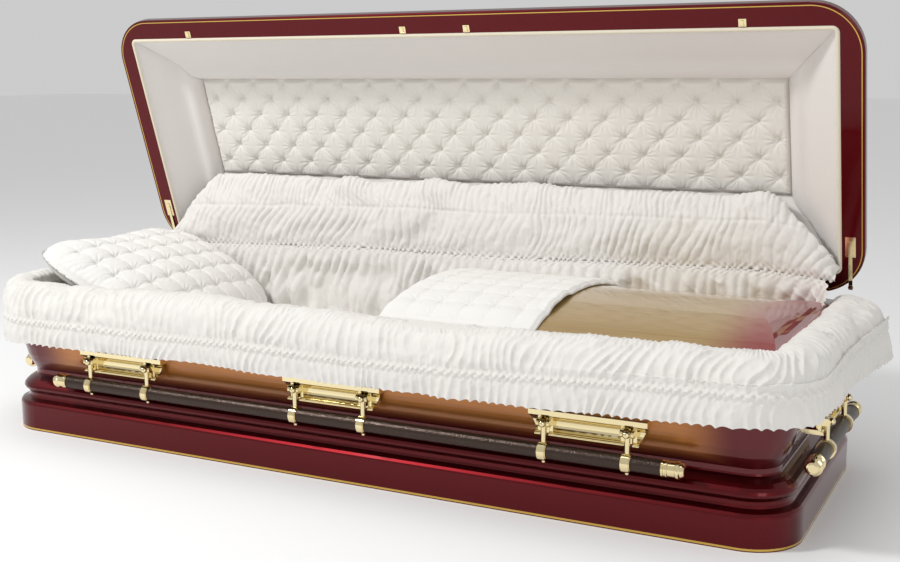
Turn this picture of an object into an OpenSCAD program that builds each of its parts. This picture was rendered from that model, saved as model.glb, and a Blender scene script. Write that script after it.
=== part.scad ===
// Full-couch sheet-steel funeral casket with open lid, shirred cloth interior and swing-bar handles.
// Millimetres. +X to the foot end, +Y to the hinge side, +Z up, origin under the middle of the base.

/* [Overall] */
// Outside length of the base moulding
length = 2100; // [1900:5:2300]
// Outside width of the base moulding
width = 720; // [640:5:800]
// Height of the top face of the body's rim
rim_height = 389; // [360:1:440]
// Corner radius of the base moulding in plan
corner_radius = 110; // [90:1:140]
// Thickness of the pressed steel sheet
sheet = 2; // [1.2:0.1:3]

/* [Base and body] */
// Height of the plain plinth wall
plinth_height = 72; // [60:1:85]
// Depth of the waist below the body, in from the plinth wall
waist_inset = 46; // [38:1:54]
// Width of the flat ledge round the top of the body
ledge_width = 47; // [40:1:54]
// Thickness of the padded wall lining
lining_thickness = 4; // [2:0.5:6]

/* [Lid] */
// How far the lid's rim reaches past the base moulding at each end
lid_past_ends = 8; // [0:1:20]
// How far the lid's rim reaches past the base moulding at each side
lid_past_sides = -1; // [-4:1:5]
// Angle the lid stands open, from shut
open_angle = 72.6; // [60:0.2:88]
// Gap between the shut lid and the body's rim
rim_gap = 5; // [4.5:0.5:8]
// Width of the flat painted flange round the lid's rim
flange_width = 54; // [48:1:60]
// Depth of the tufted panel's face behind the rim
panel_depth = 110; // [95:1:120]
// Width of the padded cove along the long sides
cove_side = 145; // [130:1:160]
// Width of the padded cove at the two ends
cove_end = 127; // [115:1:145]
// Diameter of the piping cord
piping = 10; // [8:0.5:12]

/* [Bed] */
// Height of the top of the mattress
mattress_top = 225; // [200:1:250]
// Thickness of the mattress
mattress_thickness = 95; // [70:1:110]
// Length of the pillow
pillow_length = 450; // [400:5:560]
// Space between the pillow and the lining at each side
pillow_gap = 41; // [15:1:70]

/* [Foot panel] */
// Where the head edge of the foot panel lies
foot_panel_start = 105; // [60:5:200]
// Height of the crest of the foot panel
foot_panel_crest = 430; // [415:1:440]
// Height of the foot panel's side edges
foot_panel_edge = 378; // [370:1:382]
// Length of the throw lying on the foot panel
throw_length = 365; // [300:5:420]

/* [Handles] */
// Height of the handle pivots
pivot_height = 215; // [208:1:220]
// Distance of the pivots outside the plinth wall
pivot_out = 13; // [11:0.5:18]
// Drop from pivot to bar centre
bar_drop = 61; // [55:1:66]
// Diameter of the handle bars
bar_diameter = 33; // [28:1:36]
// Length of the side handle bars with their tips
side_bar_length = 1680; // [1500:10:1740]
// Length of the end handle bars with their tips
end_bar_length = 500; // [440:5:520]
// Length of each bar tip
tip_length = 47; // [35:1:60]
// Distance from the middle plate to an outer plate
plate_pitch = 626; // [560:2:650]
// Half the distance between the two arms of a plate
arm_half = 92; // [80:1:105]
// Width of a handle plate
plate_width = 262; // [240:2:290]
// Clearance round each handle pin
pin_clearance = 0.5; // [0.3:0.1:0.8]

/* [Cloth] */
// Height of the hem of the hanging skirt
hem_height = 246; // [244:1:270]
// Thickness of the throw
throw_thickness = 9; // [6:0.5:12]

/* [Hidden] */
$fn = 48;
L2 = length / 2;
W2 = width / 2;
rz = rim_height;
rim_inset = 3;
ledge_in = max(rim_inset + ledge_width, waist_inset + sheet + 1.5);
room_inset = ledge_in + lining_thickness;
RX = L2 - room_inset;
RY = W2 - room_inset;
lid_z = rz + rim_gap;
lx = L2 + lid_past_ends;
ly = W2 + lid_past_sides;
lid_radius = corner_radius + 10;
hinge_y = max(W2 + 5.5, ly + 6.5);
hinge_z = lid_z - 1;
barrel = 4.6;
pin_r = 3;
pivot_y = W2 + pivot_out;
end_x = L2 + pivot_out;
bar_r = bar_diameter / 2;
cut = 0.02;

maroon = [0.36, 0.05, 0.07];
bronze = [0.62, 0.40, 0.24];
brass = [0.83, 0.66, 0.36];
cloth = [0.93, 0.92, 0.90];
darkbar = [0.20, 0.15, 0.13];
steel = [0.55, 0.55, 0.56];

// A section, given as points [inset from the wall, height], carried round a rounded rectangle.
module carry(hx, hy, r, pts) {
    out = [for (p = pts) [r - p[0], p[1]]];
    for (sx = [-1, 1], sy = [-1, 1])
        translate([sx * (hx - r), sy * (hy - r), 0])
            rotate([0, 0, sx > 0 ? (sy > 0 ? 0 : -90) : (sy > 0 ? 90 : 180)])
                rotate_extrude(angle = 90) polygon(out);
    for (s = [-1, 1]) {
        translate([0, s * (hy - r), 0]) rotate([90, 0, 90]) translate([0, 0, -(hx - r)])
            linear_extrude(2 * (hx - r)) polygon([for (p = out) [s * p[0], p[1]]]);
        translate([s * (hx - r), 0, 0]) rotate([90, 0, 0]) translate([0, 0, -(hy - r)])
            linear_extrude(2 * (hy - r)) polygon([for (p = out) [s * p[0], p[1]]]);
    }
}

// A plate with a rounded-rectangle outline.
module slab(hx, hy, r, z0, z1) translate([0, 0, z0]) linear_extrude(z1 - z0) rounded(hx, hy, r);
module rounded(hx, hy, r) {
    square([2 * (hx - r), 2 * hy], center = true);
    square([2 * hx, 2 * (hy - r)], center = true);
    for (sx = [-1, 1], sy = [-1, 1]) translate([sx * (hx - r), sy * (hy - r)]) circle(r);
}

ph = plinth_height;
wi = waist_inset;
base_line = [[0, 0], [0, ph - 4], [1, ph], [5, ph + 5], [12, ph + 8], [20, ph + 11], [23, ph + 16], [23, ph + 24],
    [19, ph + 30], [13, ph + 35], [11, ph + 41], [13, ph + 47], [18, ph + 53], [26, ph + 60], [36, ph + 66], [wi - 1, ph + 70], [wi, ph + 74]];
body_low = ph + 74;
function body_inset(k) = [wi, wi - 0.6, 40, 32, 25.5, 20.5, 16, 12, 8.5, 5.5, 3.6, rim_inset][k];
function body_k(k) = [0, 0.045, 0.09, 0.15, 0.22, 0.31, 0.41, 0.52, 0.65, 0.79, 0.91, 1][k];
body_line = [for (k = [0:11]) [body_inset(k), body_low + (rz - body_low) * body_k(k)]];
function inward(pts, t) = [for (i = [len(pts) - 1:-1:0])
    let (a = pts[max(i - 1, 0)], b = pts[min(i + 1, len(pts) - 1)], d = b - a, n = norm(d))
    [pts[i][0] + t * d[1] / n, pts[i][1] - t * d[0] / n]];

// One rolled steel section: plinth wall, recess, bead and waist, with a flange turned in under it.
module base_moulding() color(maroon) {
    inner = inward(base_line, sheet);
    upper = [for (i = [0:len(inner) - 2]) inner[i]];
    carry(L2, W2, corner_radius, concat(
        base_line, [[ledge_in, body_low], [ledge_in, body_low - sheet]],
        [for (p = upper) if (p[1] < body_low - sheet - 1) p],
        [[sheet, 2 * sheet + 2], [27, 2 * sheet + 0], [27, sheet], [sheet, sheet], [sheet, 0]]));
}

module bottom_pan() color(steel) {
    slab(L2 - sheet, W2 - sheet, corner_radius - sheet, 0, sheet);
    for (x = [400 - L2, 800 - L2, L2 - 800, L2 - 400]) translate([x, 0, 0]) rotate([90, 0, 0]) translate([0, 0, -(W2 - 40)])
        linear_extrude(width - 80) polygon([[-40, sheet], [-28, sheet + 10], [28, sheet + 10], [40, sheet]]);
}

// Flared sheet wall with a ledge turned in at the top and a lip turned down from it.
module body_shell() color(bronze) {
    inner = inward(body_line, sheet);
    carry(L2, W2, corner_radius, concat(
        [[ledge_in, body_low]], body_line,
        [[ledge_in, rz], [ledge_in, rz - 14], [ledge_in - sheet, rz - 14], [ledge_in - sheet, rz - sheet]],
        [for (p = inner) if (p[1] < rz - sheet - 2 && p[1] > body_low + sheet + 1) p],
        [[ledge_in, body_low + sheet]]));
}
module body_solid() carry(L2, W2, corner_radius, concat([[wi + 30, body_low]], body_line, [[wi + 30, rz]]));

frame_z = mattress_top - mattress_thickness;
// Angle-steel bed frame with cross bars, on six legs.
module bed_frame() color(steel) {
    fx = L2 - wi - 60;
    fy = W2 - wi - 50;
    difference() {
        translate([-fx, -fy, frame_z - 20]) cube([2 * fx, 2 * fy, 20]);
        translate([-fx + 3, -fy + 3, frame_z - 30]) cube([2 * fx - 6, 2 * fy - 6, 27]);
        translate([-fx + 25, -fy + 25, frame_z - 30]) cube([2 * fx - 50, 2 * fy - 50, 40]);
    }
    for (k = [-3:3]) translate([k * (L2 - 300) / 3 - 20, -fy + 1, frame_z - 3]) cube([40, 2 * fy - 2, 3]);
    for (x = [-fx + 3, -13, fx - 28], s = [-1, 1])
        translate([x, s * (fy - 14) - 11, sheet]) cube([25, 22, frame_z - sheet - 1]);
}

module mattress() color(cloth) {
    m = mattress_thickness;
    carry_pad(RX - 1, RY - 1, corner_radius - 50, frame_z, m);
}
// A pad with rounded edges.
module carry_pad(hx, hy, r, z, t) {
    e = 14;
    carry(hx, hy, r, [[0, z + e], [0, z + t - e], [e * 0.3, z + t - e * 0.3], [e, z + t], [r - 1, z + t], [r - 1, z], [e, z], [e * 0.3, z + e * 0.3]]);
    translate([-(hx - r) - 2, -(hy - r) - 2, z]) cube([2 * (hx - r) + 4, 2 * (hy - r) + 4, t]);
}

// Padded tub lining that hangs from the ledge's lip down to the mattress.
module body_lining() color(cloth) {
    carry(L2, W2, corner_radius, [[ledge_in, rz], [ledge_in, frame_z + 12], [room_inset, frame_z + 12], [room_inset, rz]]);
}

module pillow() color(cloth)
    translate([-RX + 14, 0, mattress_top]) rotate([90, 0, 0]) translate([0, 0, -(2 * RY - 2 * pillow_gap) / 2]) linear_extrude((2 * RY - 2 * pillow_gap))
        polygon([for (p = [[0, 40], [0.015, 6], [0.10, 0], [0.60, 0], [0.86, 0], [0.96, 12], [1, 34], [0.96, 74],
            [0.85, 118], [0.64, 170], [0.41, 212], [0.22, 238], [0.08, 247], [0, 227], [-0.006, 180], [-0.006, 110]]) [p[0] * pillow_length, p[1]]]);

// The puffed roll on the ledge and the gathered skirt hanging outside the body.
skirt_line = [[ledge_in + 2, 0], [ledge_in, 11], [38, 21], [16, 23], [-10, 14], [-29, -8], [-40, -36], [-40, -62], [-33, -76], [-35, -90], [-32, -118]];
skirt_back = [[-24, -118], [-25, -100], [-24, -76], [-28, -60], [-27, -36], [-15, -12], [-3, -1], [rim_inset, 0]];
module skirt_ring() {
    drop = rz - hem_height;
    function hem(p) = p[1] < -100 ? [p[0], -drop] : p;
    carry(L2, W2, corner_radius, [for (p = concat(skirt_line, skirt_back)) let (q = hem(p)) [q[0], rz + q[1]]]);
}
module sector(a, b) linear_extrude(700) polygon([[a + 0, b], [-a, b], [-a + 340, b + 340 * (b < 0 ? 1 : -1)], [a - 340, b + 340 * (b < 0 ? 1 : -1)]]);
module front_skirt() color(cloth) intersection() {
    skirt_ring();
    sector(L2 + 100, -(W2 + 100));
}
module end_skirt(s) intersection() {
    skirt_ring();
    difference() {
        translate([s > 0 ? L2 - 200 : -L2 - 200, -W2 - 90, 0]) cube([400, W2 + 90 + RY + 28, 700]);
        sector(L2 + 100, -(W2 + 100));
        translate([-(RX - 11), RY - 12, 0]) cube([2 * (RX - 11), 200, 700]);
    }
}
module head_skirt() color(cloth) end_skirt(-1);
module foot_skirt() color(cloth) end_skirt(1);

// The tall ruffle standing on the rear ledge against the lid's lower cove.
module rear_skirt() color(cloth) intersection() {
    translate([-L2, 0, 0]) rotate([90, 0, 90]) linear_extrude(length)
        polygon([for (p = [[62, 0], [24, 0], [24, 30], [27, 60], [26, 110], [13, 165], [10, 206], [14, 218], [22, 217], [31, 196],
            [40, 150], [50, 96], [60, 60], [70, 38], [66, 12]]) [W2 - p[0], rz + p[1]]]);
    translate([0, W2, rz - 20]) rotate([90, 0, 0]) linear_extrude(200)
        polygon([[-(RX - 12), 0], [RX - 12, 0], [RX - 12, 66], [RX - 40, 110], [RX - 80, 185], [RX - 150, 240],
            [-(RX - 150), 240], [-(RX - 80), 185], [-(RX - 40), 110], [-(RX - 12), 66]]);
}

// Pressed steel cover over the foot half of the bed, arched across and rounded down at the foot end.
module arch(drop, h) {
    half = RY - h;
    rise = foot_panel_crest - foot_panel_edge;
    R = (RY * RY + rise * rise) / (2 * rise);
    intersection() {
        translate([0, 0, foot_panel_crest - R - drop]) rotate([0, 90, 0]) translate([0, 0, foot_panel_start - (drop > 0 ? 10 : 0)])
            cylinder(r = R, h = RX - foot_panel_start - h + (drop > 0 ? 10 : 0), $fn = 360);
        slab(RX - h, half, corner_radius - room_inset - h, foot_panel_edge - 60, foot_panel_edge + 140);
        translate([0, half + 1, 0]) rotate([90, 0, 0]) linear_extrude(2 * half + 2) polygon(concat(
            [[foot_panel_start - 30, foot_panel_edge - 80], [foot_panel_start - 30, foot_panel_crest + 5 - drop]],
            [for (a = [0:6:90]) [RX - h - 130 + 130 * sin(a), foot_panel_edge - 14 - drop + (foot_panel_crest - foot_panel_edge + 16) * cos(a)]],
            [[RX - h, foot_panel_edge - 80]]));
    }
}
module foot_panel() color(bronze) difference() {
    arch(0, 0);
    arch(sheet, sheet);
    translate([foot_panel_start - 50, -RY - 5, foot_panel_edge - 90]) cube([RX, 2 * RY + 10, 50]);
}

// Quilted throw over the head end of the foot panel, hanging down inside its head edge.
module throw() color(cloth) {
    rise = foot_panel_crest - foot_panel_edge;
    R = (RY * RY + rise * rise) / (2 * rise);
    hw = RY - 13;
    t = throw_thickness;
    intersection() {
        difference() {
            translate([foot_panel_start - t, 0, foot_panel_crest - R]) rotate([0, 90, 0]) cylinder(r = R + t, h = throw_length, $fn = 360);
            translate([foot_panel_start, 0, foot_panel_crest - R]) rotate([0, 90, 0]) cylinder(r = R, h = throw_length, $fn = 360);
            translate([foot_panel_start, -hw - 2, foot_panel_edge - 90]) cube([throw_length, 2 * hw + 4, 88]);
        }
        translate([foot_panel_start - 2 * t, -hw, foot_panel_edge - 70]) cube([throw_length + 2 * t, 2 * hw, 300]);
    }
}

// ---- hinges
module butt(x, which) {
    n = 5;
    w = 18;
    for (i = [0:n - 1]) if ((i % 2 == 0) == (which == 0))
        translate([x - n * w / 2 + i * w + 0.3, hinge_y, hinge_z]) rotate([0, 90, 0]) difference() {
            cylinder(r = barrel, h = w - 0.6);
            if (which == 1) translate([0, 0, -1]) cylinder(r = pin_r + 0.4, h = w + 2);
        }
}
module body_leaf(x) color(brass) {
    butt(x, 0);
    translate([x - 46, hinge_y, hinge_z]) rotate([0, 90, 0]) cylinder(r = pin_r, h = 92);
    difference() {
        union() {
            for (i = [0, 2, 4]) translate([x - 45 + i * 18 + 0.3, W2 - rim_inset - 8, hinge_z - 24]) cube([17.4, hinge_y - W2 + rim_inset + 8, 21.5]);
            translate([x - 45, W2 - rim_inset - 8, hinge_z - 52]) cube([90, 8 + 2.6, 46]);
        }
        body_solid();
        translate([x - 60, hinge_y - barrel * 0.2, hinge_z - 60]) cube([120, 30, 57.5]);
        translate([x - 60, hinge_y, hinge_z]) rotate([0, 90, 0]) cylinder(r = pin_r - 0.2, h = 120);
    }
}
module hinge_body_leaf_head() body_leaf(-560);
module hinge_body_leaf_foot() body_leaf(560);
module lid_leaf(x) color(brass) open_lid() {
    butt(x, 1);
    difference() {
        union() {
            for (i = [1, 3]) translate([x - 45 + i * 18 + 0.3, ly - 4, hinge_z + 2.2]) cube([17.4, hinge_y - ly + 4, 14]);
            translate([x - 45, ly - 4, lid_z + 10]) cube([90, 4 + 2.6, 34]);
        }
        lid_solid();
        translate([x - 60, hinge_y, hinge_z]) rotate([0, 90, 0]) cylinder(r = pin_r + 0.4, h = 120);
        for (i = [0, 2, 4]) translate([x - 45 + i * 18 - 0.3, hinge_y, hinge_z]) rotate([0, 90, 0]) cylinder(r = barrel + 0.5, h = 18.6);
    }
}
module hinge_lid_leaf_head() lid_leaf(-560);
module hinge_lid_leaf_foot() lid_leaf(560);

// ---- lid, drawn shut and turned open about the hinge
module open_lid() translate([0, hinge_y, hinge_z]) rotate([-open_angle, 0, 0]) translate([0, -hinge_y, -hinge_z]) children();
lid_line = [[3, 0], [1, 1.2], [0, 4], [0, 22], [1.2, 25], [6, 28], [9, 32], [10, 40], [12, 58], [17, 76], [26, 90], [40, 99], [58, 103], [88, 104]];
crown_in = 75;
crown = [[0, 0], [4, 14], [14, 28], [34, 44], [64, 58], [104, 69], [154, 77], [214, 82], [284, 84.5]];
function lifted(pts) = [for (p = pts) [p[0], lid_z + p[1]]];
module crown_solid(t) {
    hx = lx - crown_in - t;
    hy = ly - crown_in - t;
    zt = lid_z + 104 - t;
    intersection() {
        rotate([90, 0, 90]) translate([0, 0, -hx]) linear_extrude(2 * hx) polygon(concat(
            [[-hy, zt - 30]], [for (p = crown) if (p[0] < hy) [-hy + p[0], zt + p[1]]],
            [for (i = [len(crown) - 1:-1:0]) let (p = crown[i]) if (p[0] < hy) [hy - p[0], zt + p[1]]], [[hy, zt - 30]]));
        rotate([90, 0, 0]) translate([0, 0, -hy]) linear_extrude(2 * hy) polygon(concat(
            [[-hx, zt - 30]], [for (p = crown) [-hx + p[0], zt + p[1]]],
            [for (i = [len(crown) - 1:-1:0]) let (p = crown[i]) [hx - p[0], zt + p[1]]], [[hx, zt - 30]]));
    }
}
module lid_solid() carry(lx, ly, lid_radius, concat(lifted(lid_line), [[88, lid_z]]));
// Pressed steel lid: rolled rim with a flat flange turned in, moulded side and hipped crown.
module lid_shell() color(maroon) open_lid() difference() {
    union() {
        carry(lx, ly, lid_radius, concat(
            lifted(lid_line), [[88, lid_z + 104 - sheet]],
            [for (p = inward(lid_line, sheet)) if (p[0] < 80 && p[1] > sheet + 4 && p[1] < 103) [p[0], lid_z + p[1]]],
            [[sheet + 0.5, lid_z + sheet + 1], [sheet + 3, lid_z + sheet], [sheet + 8, lid_z + sheet], [sheet + 8, lid_z]]));
        difference() {
            union() {
                slab(lx - sheet - 4, ly - sheet - 4, lid_radius - sheet - 4, lid_z, lid_z + sheet);
                slab(lx - flange_width + sheet, ly - flange_width + sheet, pipe_corner + piping / 2 + sheet, lid_z, lid_z + 14);
            }
            slab(lx - flange_width, ly - flange_width, pipe_corner + piping / 2, lid_z - 1, lid_z + 15);
        }
        difference() {
            crown_solid(0);
            translate([-lx, -ly, lid_z]) cube([2 * lx, 2 * ly, 104 - sheet]);
        }
    }
    crown_solid(sheet);
}

pipe_in = flange_width + piping / 2;
pipe_corner = 12;
cove_in = flange_width + piping;
px = lx - cove_in - cove_end;
py = ly - cove_in - cove_side;
module lid_piping() color(cloth) open_lid() {
    r = piping / 2;
    hx = lx - pipe_in;
    hy = ly - pipe_in;
    c = pipe_corner;
    for (s = [-1, 1]) {
        translate([-(hx - c), s * hy, lid_z + 1]) rotate([0, 90, 0]) cylinder(r = r, h = 2 * (hx - c));
        translate([s * hx, -(hy - c), lid_z + 1]) rotate([-90, 0, 0]) cylinder(r = r, h = 2 * (hy - c));
    }
    for (sx = [-1, 1], sy = [-1, 1]) translate([sx * (hx - c), sy * (hy - c), lid_z + 1])
        rotate([0, 0, sx > 0 ? (sy > 0 ? 0 : -90) : (sy > 0 ? 90 : 180)]) rotate_extrude(angle = 90) translate([c, 0]) circle(r);
}

// Padded cove sections with mitred corners: point = [distance in, depth behind the rim].
function cove_line(run) = [[0, 0], [run * 0.03, 5], [run * 0.60, panel_depth * 0.60], [run * 0.71, panel_depth * 0.66], [run * 0.82, panel_depth * 0.70],
    [run * 0.91, panel_depth * 0.78], [run * 0.97, panel_depth * 0.90], [run, panel_depth], [run, panel_depth + 14], [run * 0.90, panel_depth + 14],
    [run * 0.80, panel_depth * 0.92], [run * 0.55, panel_depth * 0.74], [0, 16]];
module mitre(long_side) {
    hx = lx - cove_in;
    hy = ly - cove_in;
    translate([0, 0, lid_z - 5]) linear_extrude(200) if (long_side)
        intersection() {
            polygon([[-hx, -hy], [hx, -hy], [px - cove_end, -py + cove_side], [-px + cove_end, -py + cove_side]]);
            rounded(hx, hy, max(pipe_corner - piping / 2, 1));
        }
    else
        intersection() {
            polygon([[hx, -hy], [hx, hy], [px, py], [px, -py]]);
            rounded(hx, hy, max(pipe_corner - piping / 2, 1));
        }
}
module side_cove() {
    hy = ly - cove_in;
    intersection() {
        translate([-lx, 0, 0]) rotate([90, 0, 90]) linear_extrude(2 * lx)
            polygon([for (p = cove_line(cove_side)) [-hy + p[0], lid_z + p[1]]]);
        mitre(true);
    }
}
module end_cove() {
    hx = lx - cove_in;
    intersection() {
        translate([0, ly, 0]) rotate([90, 0, 0]) linear_extrude(2 * ly)
            polygon([for (p = cove_line(cove_end)) [hx - p[0], lid_z + p[1]]]);
        mitre(false);
    }
}
module lid_cove_front() color(cloth) open_lid() side_cove();
module lid_cove_rear() color(cloth) open_lid() mirror([0, 1, 0]) side_cove();
module lid_cove_foot() color(cloth) open_lid() end_cove();
module lid_cove_head() color(cloth) open_lid() mirror([1, 0, 0]) end_cove();
module tufted_panel() color(cloth) open_lid()
    translate([-px, -py, lid_z + panel_depth]) cube([2 * px, 2 * py, 26]);

// Four small brass hooks on the flange's inner edge.
module lid_catches() color(brass) open_lid()
    for (x = [-790, -92, 92, 790]) translate([x, -ly + flange_width - 20, lid_z]) {
        translate([-9, 0, -1.6]) cube([18, 18, 1.6]);
        translate([-3, 3, -4.2]) cube([6, 12, 3.2]);
        translate([0, 15, -3]) rotate([0, 90, 0]) translate([0, 0, -5]) cylinder(r = 1.2, h = 10);
    }

// Brass stay bars lying on the end flanges beside the hinge.
module stay(s) color(brass) open_lid() translate([s * (lx - 34), ly - 14, lid_z]) mirror([s > 0 ? 0 : 1, 0, 0]) {
    translate([-12, -140, -1.6]) cube([24, 52, 1.6]);
    translate([-4.5, -128, -3.6]) cube([9, 126, 2.2]);
    translate([0, -114, -4.4]) cylinder(r = 6, h = 4);
    translate([0, -8, -4.2]) cylinder(r = 6, h = 3);
}
module lid_stay_head() stay(-1);
module lid_stay_foot() stay(1);

// ---- handles, drawn for the front wall: x along the wall, y = 0 at the plinth wall, outward is -y
module to_front() translate([0, -W2, 0]) children();
module to_rear() rotate([0, 0, 180]) translate([0, -W2, 0]) children();
module to_head() rotate([0, 0, -90]) translate([0, -L2, 0]) children();
module to_foot() rotate([0, 0, 90]) translate([0, -L2, 0]) children();

// A bracket plate with a stepped, hollowed face and two forked ears that carry the pins.
module plate(cx, half, w) translate([cx, 0, 0]) {
    zp = pivot_height;
    difference() {
        union() {
            translate([-w / 2, 0, 0]) rotate([90, 0, 90]) linear_extrude(w) polygon([for (p = [[35, -28], [-9, -28], [-10.5, -27], [-10.5, -25.5],
                [-8.5, -25], [-8.5, -24], [-9.5, -23.5], [-8, -22], [-5, -21.4], [-5.6, -20.4], [-2, -19.4], [2, -17], [4.5, -13.5], [5.8, -9], [6, -4],
                [5, 1], [3, 5.5], [0, 9], [-4, 11.8], [-5.5, 12.4], [-6.5, 13.6], [-6.5, 24.6], [-5.5, 26.4], [-3.5, 27], [35, 27]]) [p[0], zp + p[1]]]);
            for (s = [-1, 1]) translate([s * half - 17, -4, zp - 26]) cube([34, 30, 51]);
            for (s = [-1, 1]) for (t = [-1, 1]) translate([s * half + t * 12 - 3, 0, 0]) {
                translate([0, -pivot_out - 1, zp - 8]) cube([6, 16 + pivot_out, 16]);
                translate([0, -pivot_out - 1, zp]) rotate([0, 90, 0]) cylinder(r = 8, h = 6);
            }
        }
        // the ears' recesses
        for (s = [-1, 1]) translate([s * half - 9, -pivot_out - 16, zp - 60]) cube([18, pivot_out + 16 + 10, 75]);
        // ends leaning in towards the bottom and hollowed
        for (s = [-1, 1]) {
            translate([0, 60, 0]) rotate([90, 0, 0]) linear_extrude(120)
                polygon([[s * (w / 2 + 1), zp + 30], [s * w / 2, zp + 12], [s * (w / 2 - 16), zp - 18], [s * (w / 2 - 16), zp - 30], [s * (w / 2 + 40), zp - 30], [s * (w / 2 + 40), zp + 30]]);
            translate([s * (w / 2 + 1), -6, zp - 6]) rotate([90, 0, 0]) translate([0, 0, -5]) cylinder(r = 12, h = 60);
        }
    }
    for (s = [-1, 1]) translate([s * half - 11, -pivot_out, zp]) rotate([0, 90, 0]) cylinder(r = pin_r, h = 22);
}
module side_plate(cx) difference() {
    to_front() plate(cx, arm_half, plate_width);
    body_solid();
}
module end_plate() difference() {
    to_foot() plate(0, arm_half + 12, plate_width + 14);
    body_solid();
}
module front_plate_head() color(brass) side_plate(-plate_pitch);
module front_plate_middle() color(brass) side_plate(0);
module front_plate_foot() color(brass) side_plate(plate_pitch);
module rear_plate_head() color(brass) rotate([0, 0, 180]) side_plate(plate_pitch);
module rear_plate_middle() color(brass) rotate([0, 0, 180]) side_plate(0);
module rear_plate_foot() color(brass) rotate([0, 0, 180]) side_plate(-plate_pitch);
module foot_plate() color(brass) end_plate();
module head_plate() color(brass) rotate([0, 0, 180]) end_plate();

// One arm: an eye on the pin, a ball in front of it, a short neck and a ring round the bar.
module arm(x) translate([x, -pivot_out, pivot_height]) {
    difference() {
        union() {
            translate([-7, 0, 0]) rotate([0, 90, 0]) cylinder(r = 8, h = 14);
            translate([0, -9, 0]) sphere(r = 8);
            translate([0, 0, -bar_drop + bar_r]) cylinder(r = 6, h = bar_drop - bar_r);
            translate([-8, 0, -bar_drop]) rotate([0, 90, 0]) cylinder(r = bar_r + 4.5, h = 16);
            translate([-10, 0, -bar_drop]) rotate([0, 90, 0]) cylinder(r = bar_r + 2.2, h = 20);
            translate([0, 0, -bar_drop - bar_r - 6]) sphere(r = 4.5);
        }
        translate([-20, 0, 0]) rotate([0, 90, 0]) cylinder(r = pin_r + pin_clearance, h = 40);
        translate([-20, 0, -bar_drop]) rotate([0, 90, 0]) cylinder(r = bar_r, h = 40);
    }
}
module bar(len) translate([0, -pivot_out, pivot_height - bar_drop]) rotate([0, 90, 0]) translate([0, 0, -len / 2 + tip_length]) difference() {
    cylinder(r = bar_r, h = len - 2 * tip_length);
    translate([0, 0, -1]) cylinder(r = bar_r - 2.5, h = len);
}
module tips(len) translate([0, -pivot_out, pivot_height - bar_drop]) for (s = [0, 180]) rotate([0, 0, s]) rotate([0, 90, 0])
    translate([0, 0, len / 2 - tip_length]) rotate_extrude() polygon([[0, -18], [bar_r - 2.5, -18], [bar_r - 2.5, 0], [bar_r + 2, 0],
        [bar_r + 2, 4], [bar_r + 0.4, 5], [bar_r + 0.4, 8], [bar_r + 2, 9], [bar_r + 2, 12], [bar_r, 13], [bar_r, 28],
        [bar_r + 2.2, 30], [bar_r + 2.6, 33], [bar_r + 2.2, 36], [bar_r - 1, 38], [bar_r - 1, tip_length - 5], [bar_r - 4, tip_length - 1], [bar_r - 8, tip_length], [0, tip_length]]);

arm_x = [for (c = [-plate_pitch, 0, plate_pitch], s = [-1, 1]) c + s * arm_half];
module front_bar() color(darkbar) to_front() bar(side_bar_length);
module front_bar_tips() color(brass) to_front() tips(side_bar_length);
module front_arm_1() color(brass) to_front() arm(arm_x[0]);
module front_arm_2() color(brass) to_front() arm(arm_x[1]);
module front_arm_3() color(brass) to_front() arm(arm_x[2]);
module front_arm_4() color(brass) to_front() arm(arm_x[3]);
module front_arm_5() color(brass) to_front() arm(arm_x[4]);
module front_arm_6() color(brass) to_front() arm(arm_x[5]);
module rear_bar() color(darkbar) to_rear() bar(side_bar_length);
module rear_bar_tips() color(brass) to_rear() tips(side_bar_length);
module rear_arm_1() color(brass) to_rear() arm(arm_x[5]);
module rear_arm_2() color(brass) to_rear() arm(arm_x[4]);
module rear_arm_3() color(brass) to_rear() arm(arm_x[3]);
module rear_arm_4() color(brass) to_rear() arm(arm_x[2]);
module rear_arm_5() color(brass) to_rear() arm(arm_x[1]);
module rear_arm_6() color(brass) to_rear() arm(arm_x[0]);
module head_bar() color(darkbar) to_head() bar(end_bar_length);
module head_bar_tips() color(brass) to_head() tips(end_bar_length);
module head_arm_1() color(brass) to_head() arm(arm_half + 12);
module head_arm_2() color(brass) to_head() arm(-arm_half - 12);
module foot_bar() color(darkbar) to_foot() bar(end_bar_length);
module foot_bar_tips() color(brass) to_foot() tips(end_bar_length);
module foot_arm_1() color(brass) to_foot() arm(-arm_half - 12);
module foot_arm_2() color(brass) to_foot() arm(arm_half + 12);

base_moulding();
bottom_pan();
body_shell();
bed_frame();
mattress();
pillow();
body_lining();
front_skirt();
head_skirt();
foot_skirt();
rear_skirt();
foot_panel();
throw();
front_plate_head();
front_plate_middle();
front_plate_foot();
rear_plate_head();
rear_plate_middle();
rear_plate_foot();
head_plate();
foot_plate();
hinge_body_leaf_head();
hinge_body_leaf_foot();
hinge_lid_leaf_head();
hinge_lid_leaf_foot();
lid_shell();
lid_cove_front();
lid_cove_rear();
lid_cove_head();
lid_cove_foot();
tufted_panel();
lid_piping();
lid_catches();
lid_stay_head();
lid_stay_foot();
front_bar();
front_bar_tips();
front_arm_1();
front_arm_2();
front_arm_3();
front_arm_4();
front_arm_5();
front_arm_6();
rear_bar();
rear_bar_tips();
rear_arm_1();
rear_arm_2();
rear_arm_3();
rear_arm_4();
rear_arm_5();
rear_arm_6();
head_bar();
head_bar_tips();
head_arm_1();
head_arm_2();
foot_bar();
foot_bar_tips();
foot_arm_1();
foot_arm_2();
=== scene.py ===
"""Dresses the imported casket: paint, brass and cloth on the frame, and the shirred, tufted and quilted interior."""

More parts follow.
